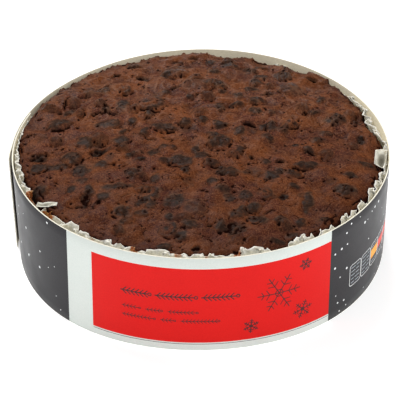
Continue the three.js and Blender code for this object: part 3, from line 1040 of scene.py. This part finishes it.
def clear_of_cake(radius, height, angle):
    """Moves paper that would cut into the crust's rounded shoulder out onto it."""
    centre_r = lobed(CRUST_RADIUS, angle) + np.minimum(lip(angle), 0.3) - CRUST_SHOULDER
    centre_z = lobed(CRUST_RISEN, angle) - CRUST_SHOULDER
    needed = CRUST_SHOULDER + PAPER_CLEARS_CAKE + 0.2
    dr, dz = np.maximum(radius - centre_r, 0.01), np.maximum(height - centre_z, 0)
    push = np.maximum(needed / np.hypot(dr, dz), 1)
    over = (height > centre_z) & (radius > centre_r)
    inward = centre_r - radius
    lying = (centre_z + needed + 0.12 * inward) * (inward > 0) * (height > centre_z)
    return (np.where(over, centre_r + dr * push, radius),
            np.maximum(np.where(over, centre_z + dz * push, height), lying))


def liner_rows():
    """The paper wall as rows of points, from the floor up and over the crust's edge."""
    angle, deep, top, lean, opened = paper_edge()
    levels = [PAPER_FLOOR + (FLAP_STARTS - PAPER_FLOOR) * share for share in WALL_SHARES]
    levels = [np.minimum(level, top - 1.0) for level in levels]
    levels += [levels[-1] + (top - levels[-1]) * share for share in FLAP_SHARES]
    flap = [0.0] * len(WALL_SHARES) + list(FLAP_SHARES)
    rows, shares = [], []
    for height, share in zip(levels, flap):
        near = side_radius(angle, height) + PAPER_CLEARS_CAKE
        near = near + np.minimum(lip(angle), 0) * step_between(height, *LIP_SHOWS)
        room = band_radius(angle, height) - CARD + BAND_CENTRE_X * np.cos(angle)
        far = room - PAPER_CLEARS_CARD - PAPER
        into = (0.15 + 0.75 * deep) * (0.55 + 0.45 * step_between(height, *PLEATS_FAN))
        into = into + opened * (0.72 + 0.28 * deep - into)
        radius = far - np.maximum(far - near, 0.1) * into
        # Crushed by the tin: broad dents, small ones, and sharp creases in the flap.
        crush = 0.8 - 2.4 * np.abs(ring_noise(angle, height, 4.2, 33))
        crush = crush + 0.4 * ring_noise(angle, height, 1.5, 34)
        radius = np.minimum(radius + 0.3 * crush * step_between(height, *CRUSHED), far)
        crease = 0.25 - np.abs(ring_noise(angle, 1.6 * height, 3.2, 41))
        radius = radius - lean * share**1.4 + (0.5 * crush + 2.4 * crease) * share
        radius, height = clear_of_cake(np.minimum(radius, far), height, angle)
        # The folds start from the flat disc, whose own edge doesn't double back.
        rows.append(ring_points(radius, angle if rows else np.sort(angle), height))
        shares.append(np.full(len(angle), share))
    return np.array(rows), np.array(shares), angle


def sheet_normals(rows, closed=True):
    """Unit normals of a sheet of points; the rows of a closed one run round the ring."""
    along = np.roll(rows, -1, 1) - np.roll(rows, 1, 1) if closed else np.gradient(rows, axis=1)
    normals = np.cross(along, np.gradient(rows, axis=0))
    return normals / np.maximum(np.linalg.norm(normals, axis=2, keepdims=True), 1e-9)


print(len(WALL_SHARES) + len(FLAP_SHARES), "rows of points up the paper")

# %% Loose tongues
# Root and tip angle, tip radius, widths at root and tip, cup, tilt and the painted shade in its
# hollow.
TONGUES = [(-147.6, -142.6, 83.2, 3.6, 2.8, 0.4, 0.0, 0.9),
           (-8.8, -8.8, 84.2, 11.5, 9.0, 3.4, 1.6, 1.1)]
TONGUE_ROWS = 9
TONGUE_POINTS = 7
TONGUE_ROOT_RADIUS = 89.6
TONGUE_LEVEL = 52.3
TONGUE_CLEARS_CRUST = 1.1


def tongue(root_turn, tip_turn, tip_radius, root_wide, tip_wide, cup, tilt, hollow_shade):
    """A loose strip of paper from behind the card's rim to where its tip lies on the crust."""
    root, tip = TONGUE_ROOT_RADIUS * toward(root_turn), tip_radius * toward(tip_turn)
    way = (tip - root) / np.linalg.norm(tip - root)
    across = np.array([-way[1], way[0]])
    side = np.linspace(-1, 1, TONGUE_POINTS)
    rows, shares = [], []
    for share in np.linspace(0, 1, TONGUE_ROWS):
        wide = (root_wide * (1 - share) + tip_wide * share) * (1 - 0.3 * share**4) / 2
        x, y = (root + (tip - root) * share + across * (side * wide)[:, None]).T
        angle = np.arctan2(y, x)
        into = lobed(CRUST_RADIUS, angle) - notch(angle) - np.hypot(x, y)
        rest = crown(x, y) - shoulder_drop(np.maximum(into, 0)) + TONGUE_CLEARS_CRUST
        hollow = 0.7 - (1 - side**2) * math.sin(math.pi * min(share + 0.15, 1))
        level = TONGUE_LEVEL + share + cup * hollow - tilt * side
        height = np.where(into > 0, np.maximum(rest, level), level)
        rows.append(np.stack([x, y, height + 0.3 * soft_noise(x, y, 2.2, 37)], 1))
        # A painted highlight at the border and tip, and painted shade in the hollow middle.
        middle = (1 - side**2) * math.sin(math.pi * min(share + 0.1, 1))
        shares.append(np.maximum(np.abs(side) ** 4, share**6) - hollow_shade * middle)
    return np.array(rows), np.array(shares)


def tongue_skin(rows, shares, first):
    """Points, faces and painted light and shade shares of a tongue with both its sides and its
    border.
    """
    normals = sheet_normals(rows, closed=False)
    normals = normals * np.sign(normals[..., 2:3] + 1e-9)
    grid = first + np.arange(shares.size).reshape(shares.shape)
    a, b, c, d = grid[:-1, :-1], grid[:-1, 1:], grid[1:, 1:], grid[1:, :-1]
    upper, lower = np.stack([a, b, c, d], -1), np.stack([a, d, c, b], -1) + grid.size
    border = np.concatenate([grid[0], grid[1:, -1], grid[-1, -2::-1], grid[-2:0:-1, 0]])
    after = np.roll(border, -1)
    faces = as_faces(np.stack([upper, lower], 2).reshape(-1, 4),
                     np.stack([border, border + grid.size, after + grid.size, after], 1))
    if np.cross(rows[0, 1] - rows[0, 0], rows[1, 0] - rows[0, 0])[2] < 0:
        faces = [face[::-1] for face in faces]
    points = np.concatenate([rows + PAPER / 2 * normals, rows - PAPER / 2 * normals])
    return points.reshape(-1, 3), faces, np.concatenate([shares, shares]).ravel()


print(len(TONGUES), "loose tongues of paper")

# %% Liner
def make_liner(material):
    """The cup as one closed sheet with its flat disc, and the loose tongues beside it."""
    rows, shares, angle = liner_rows()
    count = rows.shape[1]
    outer = rows + PAPER * sheet_normals(rows)
    outer[0, :, 2] = PAPER_FLOOR
    rows[0, :, 2] = PAPER_FLOOR + PAPER
    rings = np.concatenate([outer, rows[::-1]])
    points = np.concatenate([[[0, 0, PAPER_FLOOR]], rings.reshape(-1, 3),
                             [[0, 0, PAPER_FLOOR + PAPER]]])
    starts = 1 + count * np.arange(len(rings))
    faces = as_faces(fan_faces(0, 1, count),
                     *[wall_faces(start, start + count, count) for start in starts[:-1]],
                     fan_faces(len(points) - 1, starts[-1], count)[:, ::-1])
    share = np.concatenate([shares, shares[::-1]])
    grease = 0.3 * np.clip(ring_noise(angle, 0, 4, 35) - 0.15, 0, 1) * share**2
    for middle, half, depth in GREASE:
        grease = grease + depth * plateau(angle, middle, half) * step_between(share, 0.0, 0.3)
    grease = np.concatenate([[0], np.clip(grease, 0, 1).ravel(), [0]])
    # The flap's share up the wall drives the painted highlight along its top edge.
    edge = np.concatenate([[0], share.ravel(), [0]])
    for row in TONGUES:
        more_points, more_faces, more_light_and_shade = tongue_skin(*tongue(*row), len(points))
        points = np.concatenate([points, more_points])
        faces.extend(more_faces)
        edge = np.concatenate([edge, more_light_and_shade])
        grease = np.concatenate([grease, 0.1 * more_light_and_shade])
    liner = make_piece("pleated_liner", points, faces, [material])
    paint(liner, "grease", grease)
    paint(liner, "edge", edge)
    return liner


# %% Paper finish
def paper_finish():
    """Thin greaseproof paper that lets some light through, with a painted highlight at its top
    edge and painted shade in its crumples and hollows.
    """
    finish = Finish("greaseproof_paper", roughness=0.6, Specular_IOR_Level=0.12,
                    Subsurface_Weight=0.6, Subsurface_Scale=0.0008,
                    Subsurface_Radius=(1.0, 0.95, 0.85))
    fibre = finish.patches(2.5, 3, 0.6, 0.3, 0.7, stretch=(1, 1, 0.4))
    sheet = finish.mix(fibre, linear(180, 177, 162), linear(218, 215, 200))
    # Grey mottle painted as shade in the crumples.
    sheet = finish.coat(sheet, finish.patches(2.6, 3, 0.6, 0.45, 0.65, 0, 0.35), (112, 106, 88))
    # The edge share paints shade in a loose tongue's hollow, below 0, and a highlight along the
    # top edge and the tongue's border, near 1.
    edge = finish.attribute("edge")
    sheet = finish.coat(sheet, finish.spread(edge, 0, -0.9, 0, 0.9), (96, 91, 76))
    sheet = finish.coat(sheet, finish.spread(edge, 0.85, 1.0, 0, 0.8), (240, 234, 220))
    # Grease is amber where it is thin and brown where it is thick.
    blotch = finish.patches(1.4, 3, 0.5, 0.35, 0.65, -0.15, 0.15)
    grease = finish.math("ADD", finish.attribute("grease"), blotch)
    sheet = finish.coat(sheet, finish.spread(grease, 0.15, 0.6, 0, 0.95), (150, 78, 14))
    sheet = finish.coat(sheet, finish.spread(grease, 0.6, 1.1, 0, 0.85), (88, 36, 6))
    crumple = finish.bump(finish.noise(1.2, 2), 0.25, 0.7)
    return finish.set(Base_Color=sheet, Normal=crumple)


pleated_liner = make_liner(paper_finish())
finish_piece(pleated_liner, "paper", "paper_liner")

# %% [markdown]
# ## The card band
#
# The band is one long strip of carton board, printed and varnished outside and bare inside,
# wrapped round the cake and glued where it laps. It is swept as a thin closed section along
# the same lobed ring as the solid. The printed fields are not a picture: each is a run of
# faces between two turns and two heights, with its own material, so their edges are crisp
# from any distance.

# %% Band
FACE_STEP = 0.75
EDGE_ROUND = 0.14
PANEL_TURNS = (-132, -49)
RED_TURNS = (-123, -49)
RED_HEIGHTS = (4.5, 46.7)
OUTER_HEIGHTS = (EDGE_ROUND, RED_HEIGHTS[0], 18.5, 32.5, RED_HEIGHTS[1],
                 BAND_HEIGHT - EDGE_ROUND)
NIGHT, PANEL, RED, BARE_CARD, CUT_CARD = range(5)


def band_section():
    """The strip's section as (height, depth into the card), and the slot of each face."""
    points = [(height, 0) for height in OUTER_HEIGHTS]
    points += [(BAND_HEIGHT, EDGE_ROUND), (BAND_HEIGHT, CARD - EDGE_ROUND)]
    points += [(BAND_HEIGHT - EDGE_ROUND, CARD), (BAND_HEIGHT / 2, CARD), (EDGE_ROUND, CARD)]
    points += [(0, CARD - EDGE_ROUND), (0, EDGE_ROUND)]
    slots = [NIGHT] * (len(OUTER_HEIGHTS) - 1) + [CUT_CARD] * 3 + [BARE_CARD] * 2
    return points, slots + [CUT_CARD] * 3


def printed_slot(turn, low):
    """Which field of the print a face of the outer side belongs to, by its lower edge."""
    if not PANEL_TURNS[0] < turn < PANEL_TURNS[1]:
        return NIGHT
    in_red = RED_TURNS[0] < turn < RED_TURNS[1] and RED_HEIGHTS[0] <= low < RED_HEIGHTS[1]
    return RED if in_red else PANEL


def on_band(turn, height, out=0.0):
    """A point on the strip's outer face, or out from it, in millimetres."""
    angle = np.radians(turn)
    radius = band_radius(angle, height) + lap_lift(turn) + out
    return ring_points(radius, angle, height) + [BAND_CENTRE_X, 0, 0]


def make_band(materials):
    """The strip, rib by rib along its turns, with its two cut ends."""
    section, section_slots = band_section()
    turns = np.arange(STRIP_START, STRIP_END + FACE_STEP / 2, FACE_STEP)
    turns = np.unique(np.concatenate([turns[:-1], [STRIP_END], PANEL_TURNS, RED_TURNS]))
    points = np.stack([on_band(turns, height, -depth) for height, depth in section], 1)
    slots = [printed_slot(turn, low) if slot == NIGHT else slot
             for turn in (turns[:-1] + turns[1:]) / 2
             for (low, _), slot in zip(section, section_slots)]
    return make_piece("card_band_printed", points.reshape(-1, 3),
                      tube_faces(0, len(turns), len(section)), materials, slots + [CUT_CARD] * 2)


print("the strip is", STRIP_END - STRIP_START, "degrees long, so it laps on itself")

# %% [markdown]
# ## Inks and board
#
# Printing ink on coated board is smooth, with a soft varnish sheen and the faintest mottle
# where the press laid it unevenly. The bare inner side is a warm, fibrous grey-cream, and
# the cut edge shows the pale core of the board.

# %% Card finishes
def ink_finish(name, low, high, roughness=0.36):
    """Varnished ink: two close colours in a fine mottle, and a very slight orange peel."""
    finish = Finish(name, roughness=roughness, Specular_IOR_Level=0.09)
    mottle = finish.patches(0.6, 3, 0.7, 0.35, 0.65)
    drift = finish.patches(24, 2, 0.5, 0.35, 0.65, -0.2, 0.2)
    ink = finish.mix(finish.math("ADD", mottle, drift), linear(*low), linear(*high))
    sheen = finish.patches(9, 2, 0.5, 0.3, 0.7, roughness - 0.04, roughness + 0.05)
    peel = finish.bump(finish.noise(1.1, 2), 0.02, 0.5)
    return finish.set(Base_Color=ink, Roughness=sheen, Normal=peel)


def board_finish(name, low, high, fibre_mm):
    """Uncoated board: short fibres in two close tones, and a soft tooth."""
    finish = Finish(name, roughness=0.85, Specular_IOR_Level=0.2)
    fibre = finish.patches(fibre_mm, 4, 0.7, 0.3, 0.7, stretch=(1, 1, 2.2))
    board = finish.mix(fibre, linear(*low), linear(*high))
    tooth = finish.bump(finish.noise(0.5, 3, 0.7), 0.05, 0.6)
    return finish.set(Base_Color=board, Normal=tooth)


band_materials = [
    ink_finish("ink_night", (49, 48, 50), (56, 55, 57)),
    ink_finish("ink_panel_white", (205, 212, 207), (213, 219, 214), 0.4),
    ink_finish("ink_red", (206, 22, 20), (214, 27, 23), 0.4),
    board_finish("board_bare_inside", (212, 201, 175), (230, 221, 197), 1.6),
    board_finish("board_cut_edge", (222, 216, 198), (240, 236, 222), 0.6),
]
card_band = make_band(band_materials)
finish_piece(card_band, "card", "card_band")

# %% [markdown]
# ## Line art on the panel
#
# The red field carries rows of fir twigs and a few line-drawn snowflakes, the night field a
# row of small outlined boxes. Every line is a stroke of ink: a thin ribbon that follows the
# curve of the card and stands three hundredths of a millimetre proud of it. A stroke is
# made from the points it passes through, given along the card and up it, so one small class
# draws all of it.

# %% Strokes
INK_STANDS = 0.03
INK_SINKS = 0.03
STROKE_STEP = 2.0
MEAN_RADIUS = 91.0


class Inking:
    """Collects strokes and turns them into one mesh with one slot for each ink."""

    def __init__(self):
        self.points, self.faces, self.slots = [], [], []

    def stroke(self, path, width, ink, closed=False):
        """A ribbon through points (millimetres along the card from its front, height)."""
        path = [np.array(p, float) for p in path]
        if closed:
            path.append(path[0])
        for start, end in zip(path[:-1], path[1:]):
            self.piece(start, end, width, ink)

    def piece(self, start, end, width, ink):
        """One straight piece of a stroke, a flat bar bent along the card."""
        length = np.linalg.norm(end - start)
        way = (end - start) / length
        side = np.array([-way[1], way[0]]) * width / 2
        reach = way * min(width, 0.6) * 0.3
        steps = max(1, math.ceil(length / STROKE_STEP))
        middles = np.linspace(start - reach, end + reach, steps + 1)
        along, height = np.moveaxis(middles[:, None] + [-side, side, side, -side], 2, 0)
        out = np.array([INK_STANDS, INK_STANDS, -INK_SINKS, -INK_SINKS])
        corners = on_band(-90 + np.degrees(along / MEAN_RADIUS), height, out)
        faces = tube_faces(len(self.points), steps + 1, 4)
        self.points.extend(corners.reshape(-1, 3))
        self.faces += faces
        self.slots += [ink] * len(faces)


print("a stroke stands", INK_STANDS, "mm proud of the card")

# %% Twigs and snowflakes
DARK_INK, WHITE_INK, GREY_INK, AMBER_INK, SIGNAL_INK = range(5)
# Rows of twigs: start along the card, height of the stem, twig lengths, needle, stroke.
TWIG_ROWS = [(-37.5, 30.6, (13, 18, 16), 2.1, 0.62), (-37.0, 21.9, (8, 7, 13), 1.3, 0.36),
             (-37.0, 16.9, (15, 6, 17), 1.3, 0.36)]
TWIG_GAP = 3.4
# Place along the card, height, size and turn.
SNOWFLAKES = [(37.0, 28.0, 10.5, 0), (49.5, 14.5, 5.0, 12), (23.5, 12.0, 3.8, 25),
              (50.5, 40.0, 3.2, 8)]
SNOW_LINE = 0.5
THINNER = 0.85


def hexagon(ink, centre, radius, turn, width):
    """A small outlined hexagon."""
    corners = [centre + radius * toward(60 * i + turn) for i in range(6)]
    ink.stroke(corners, width, DARK_INK, closed=True)


def draw_twigs(ink, start, height, lengths, needle, weight):
    """Fir twigs in a row: each has a stem with slanting needles and a berry at its end."""
    left = start
    for length in lengths:
        right = left + length
        ink.stroke([(left, height), (right, height)], weight, DARK_INK)
        for at in np.arange(left + 0.4 * needle, right - 0.9 * needle, 1.1 + 0.45 * needle):
            for side in (-1, 1):
                tip = (at + 0.85 * needle, height + side * 0.85 * needle)
                ink.stroke([(at, height), tip], weight * THINNER, DARK_INK)
        berry = np.array([right + 0.4 * needle, height])
        hexagon(ink, berry, 0.4 * needle, 0, weight * THINNER)
        left = right + TWIG_GAP


def draw_snowflake(ink, along, height, size, turn):
    """Six arms, each with two pairs of twigs, round a small hexagon."""
    centre = np.array([along, height])
    for arm in range(6):
        angle = 60 * arm + turn
        ink.stroke([centre, centre + size * toward(angle)], SNOW_LINE, DARK_INK)
        for at, twig in ((0.45, 0.3), (0.72, 0.22)):
            root = centre + size * at * toward(angle)
            for lean in (-60, 60):
                tip = root + size * twig * toward(angle + lean)
                ink.stroke([root, tip], SNOW_LINE * THINNER, DARK_INK)
    hexagon(ink, centre, 0.2 * size, turn, SNOW_LINE * THINNER)


inking = Inking()
for row in TWIG_ROWS:
    draw_twigs(inking, *row)
for row in SNOWFLAKES:
    draw_snowflake(inking, *row)
print("twigs and snowflakes:", len(inking.faces), "faces")

# %% Boxes and the finished line art
BOXES = {"first": 79.5, "width": 9.2, "pitch": 9.8, "low": 12.2, "high": 24.4}
BOX_FILLS = [None, None, AMBER_INK, SIGNAL_INK, SIGNAL_INK]
BOX_CORNER = 1.4
BOX_LINE = 0.28
DASH_LINE = 0.42
DASHES = {"rows": 5, "first": 1.8, "pitch": 2.15, "margin": 1.2, "gap": 0.5}
# How far in from the two sides the gap may fall, and how ragged the right ends are.
DASH_SPLIT = (3.6, 3.4)
DASH_RAGGED = (1.1, 2.2)
FILL = {"above": 6.6, "height": 5.0, "inset": 0.6, "hides": (1, 2, 3)}
PINSTRIPE = {"height": 3.7, "inset": 0.4, "width": 0.25}


def rounded_box(low_x, low_y, high_x, high_y):
    """Outline of a box with rounded corners, three points to a corner."""
    path = []
    for x, y, start in ((high_x, high_y, 0), (low_x, high_y, 90), (low_x, low_y, 180),
                        (high_x, low_y, 270)):
        inner = np.array([x, y]) - BOX_CORNER * math.sqrt(2) * toward(start + 45)
        path += [inner + BOX_CORNER * toward(start + part) for part in (0, 45, 90)]
    return path


def draw_boxes(ink):
    """A row of outlined boxes with dashes; the last three have a tinted middle."""
    random = make_random(12)
    low = BOXES["low"]
    for i, fill in enumerate(BOX_FILLS):
        left = BOXES["first"] + i * BOXES["pitch"]
        right = left + BOXES["width"]
        outline = rounded_box(left, low, right, BOXES["high"])
        ink.stroke(outline, BOX_LINE, WHITE_INK, closed=True)
        for bar in range(DASHES["rows"]):
            height = low + DASHES["first"] + DASHES["pitch"] * bar
            if fill is None or bar not in FILL["hides"]:
                split = random(left + DASH_SPLIT[0], right - DASH_SPLIT[1])
                for dash in ((left + DASHES["margin"], split - DASHES["gap"]),
                             (split + DASHES["gap"], right - random(*DASH_RAGGED))):
                    ink.stroke([(at, height) for at in dash], DASH_LINE, GREY_INK)
        if fill is not None:
            ends = (left + FILL["inset"], right - FILL["inset"])
            ink.stroke([(at, low + FILL["above"]) for at in ends], FILL["height"], fill)


draw_boxes(inking)
panel_edges = [math.radians(turn + 90) * MEAN_RADIUS for turn in RED_TURNS]
stripe_ends = (panel_edges[0] + PINSTRIPE["inset"], panel_edges[1] - PINSTRIPE["inset"])
inking.stroke([(at, PINSTRIPE["height"]) for at in stripe_ends], PINSTRIPE["width"], DARK_INK)
ink_materials = [
    ink_finish("ink_line_dark", (70, 38, 40), (84, 46, 46)),
    ink_finish("ink_line_white", (226, 228, 228), (238, 240, 240)),
    ink_finish("ink_line_grey", (150, 160, 166), (172, 180, 184)),
    ink_finish("ink_amber", (240, 156, 40), (250, 172, 52)),
    ink_finish("ink_signal_red", (222, 62, 52), (234, 76, 62)),
]
line_art = make_piece("panel_line_art", inking.points, inking.faces, ink_materials,
                      inking.slots, smooth=False)
finish_piece(line_art, "card")

# %% [markdown]
# ## Stars, with Geometry Nodes
#
# The night field is sprinkled with tiny white stars. Placing a few hundred by hand would be
# dull, so a Geometry Nodes tree does it: it scatters points over the dark faces, puts a
# small flat disc on each, turned to face out of the card, and gives each its own size. The
# tree has named inputs, and its result becomes a plain mesh at the end.

# %% Geometry Nodes helpers
def new_tree(name, inputs):
    """An empty tree with a geometry in and out and the named number inputs, and its ends."""
    tree = bpy.data.node_groups.new(name, "GeometryNodeTree")
    for label, kind in {"Geometry": "Geometry", **inputs}.items():
        tree.interface.new_socket(label, in_out="INPUT", socket_type="NodeSocket" + kind)
    tree.interface.new_socket("Geometry", in_out="OUTPUT", socket_type="NodeSocketGeometry")
    ends = tree.nodes.new("NodeGroupInput"), tree.nodes.new("NodeGroupOutput")
    return tree, ends[0].outputs, ends[1].inputs


def run_tree(tree, host, values):
    """Runs a tree on a host mesh and returns the result as a plain mesh."""
    modifier = host.modifiers.new(tree.name, "NODES")
    modifier.node_group = tree
    for item in tree.interface.items_tree:
        if item.in_out == "INPUT" and item.name in values:
            modifier[item.identifier] = values[item.name]
    seen = host.evaluated_get(bpy.context.evaluated_depsgraph_get())
    made = bpy.data.meshes.new_from_object(seen)
    host.modifiers.remove(modifier)
    return made


def scatter_tree(name, shape_kind, shape_values, material, size_power):
    """Scatters one small shape over the host's faces; a higher power makes more small ones."""
    inputs = {"Per Square Metre": "Float", "Smallest": "Float", "Largest": "Float", "Seed": "Int"}
    tree, given, result = new_tree(name, inputs)
    points = add_node(tree, "GeometryNodeDistributePointsOnFaces", distribute_method="RANDOM",
                      Mesh=given["Geometry"], Density=given["Per Square Metre"],
                      Seed=given["Seed"]).outputs
    shape = add_node(tree, shape_kind, **shape_values)
    luck = add_node(tree, "FunctionNodeRandomValue", data_type="FLOAT", Seed=given["Seed"])
    bias = add_node(tree, "ShaderNodeMath", operation="POWER", _0=luck.outputs[1], _1=size_power)
    size = add_node(tree, "ShaderNodeMapRange", Value=bias.outputs[0], To_Min=given["Smallest"],
                    To_Max=given["Largest"])
    placed = add_node(tree, "GeometryNodeInstanceOnPoints", Points=points["Points"],
                      Instance=shape.outputs["Mesh"], Rotation=points["Rotation"],
                      Scale=size.outputs[0])
    real = add_node(tree, "GeometryNodeRealizeInstances", Geometry=placed.outputs[0])
    inked = add_node(tree, "GeometryNodeSetMaterial", Geometry=real.outputs[0], Material=material)
    tree.links.new(inked.outputs[0], result[0])
    return tree


# %% Stars
STARS_PER_M2 = 9500
STAR_SIZES = (0.6, 1.45)
STAR_SIZE_POWER = 1.8
STAR_SEED = 5
STAR_DISC = {"Vertices": 8, "Radius": 0.5 * MM, "Depth": 0.08 * MM}
STAR_KEEPS_OFF = 2.0
NIGHT_RUNS = ((PANEL_TURNS[1] + 1.5, 184), (-172, PANEL_TURNS[0] - 1))
NIGHT_STEP = 2.0


def night_faces():
    """The dark run of the band for stars to be scattered over, with a window for the boxes."""
    row_ends = (BOXES["first"] - 1, BOXES["first"] + len(BOX_FILLS) * BOXES["pitch"])
    box_turns = [math.degrees(along / MEAN_RADIUS) - 90 for along in row_ends]
    heights = (STAR_KEEPS_OFF, BOXES["low"] - 1, BOXES["high"] + 1, BAND_HEIGHT - STAR_KEEPS_OFF)
    points, faces = [], []
    for start, end in NIGHT_RUNS:
        run = np.arange(start, end, NIGHT_STEP)
        first = len(points)
        points.extend(on_band(turn, height) for turn in run for height in heights)
        for i, turn in enumerate(run[:-1]):
            for strip in range(3):
                if strip == 1 and box_turns[0] < turn + NIGHT_STEP / 2 < box_turns[1]:
                    continue
                low = first + 4 * i + strip
                faces.append((low, low + 4, low + 5, low + 1))
    return make_piece("night_faces", points, faces)


star_host = night_faces()
star_tree = scatter_tree("star_scatter", "GeometryNodeMeshCylinder", STAR_DISC,
                         ink_materials[WHITE_INK], STAR_SIZE_POWER)
star_mesh = run_tree(star_tree, star_host, {"Per Square Metre": STARS_PER_M2, "Seed": STAR_SEED,
                                            "Smallest": STAR_SIZES[0], "Largest": STAR_SIZES[1]})
bpy.data.objects.remove(star_host)
finish_piece(into_scene("band_stars", star_mesh), "card")
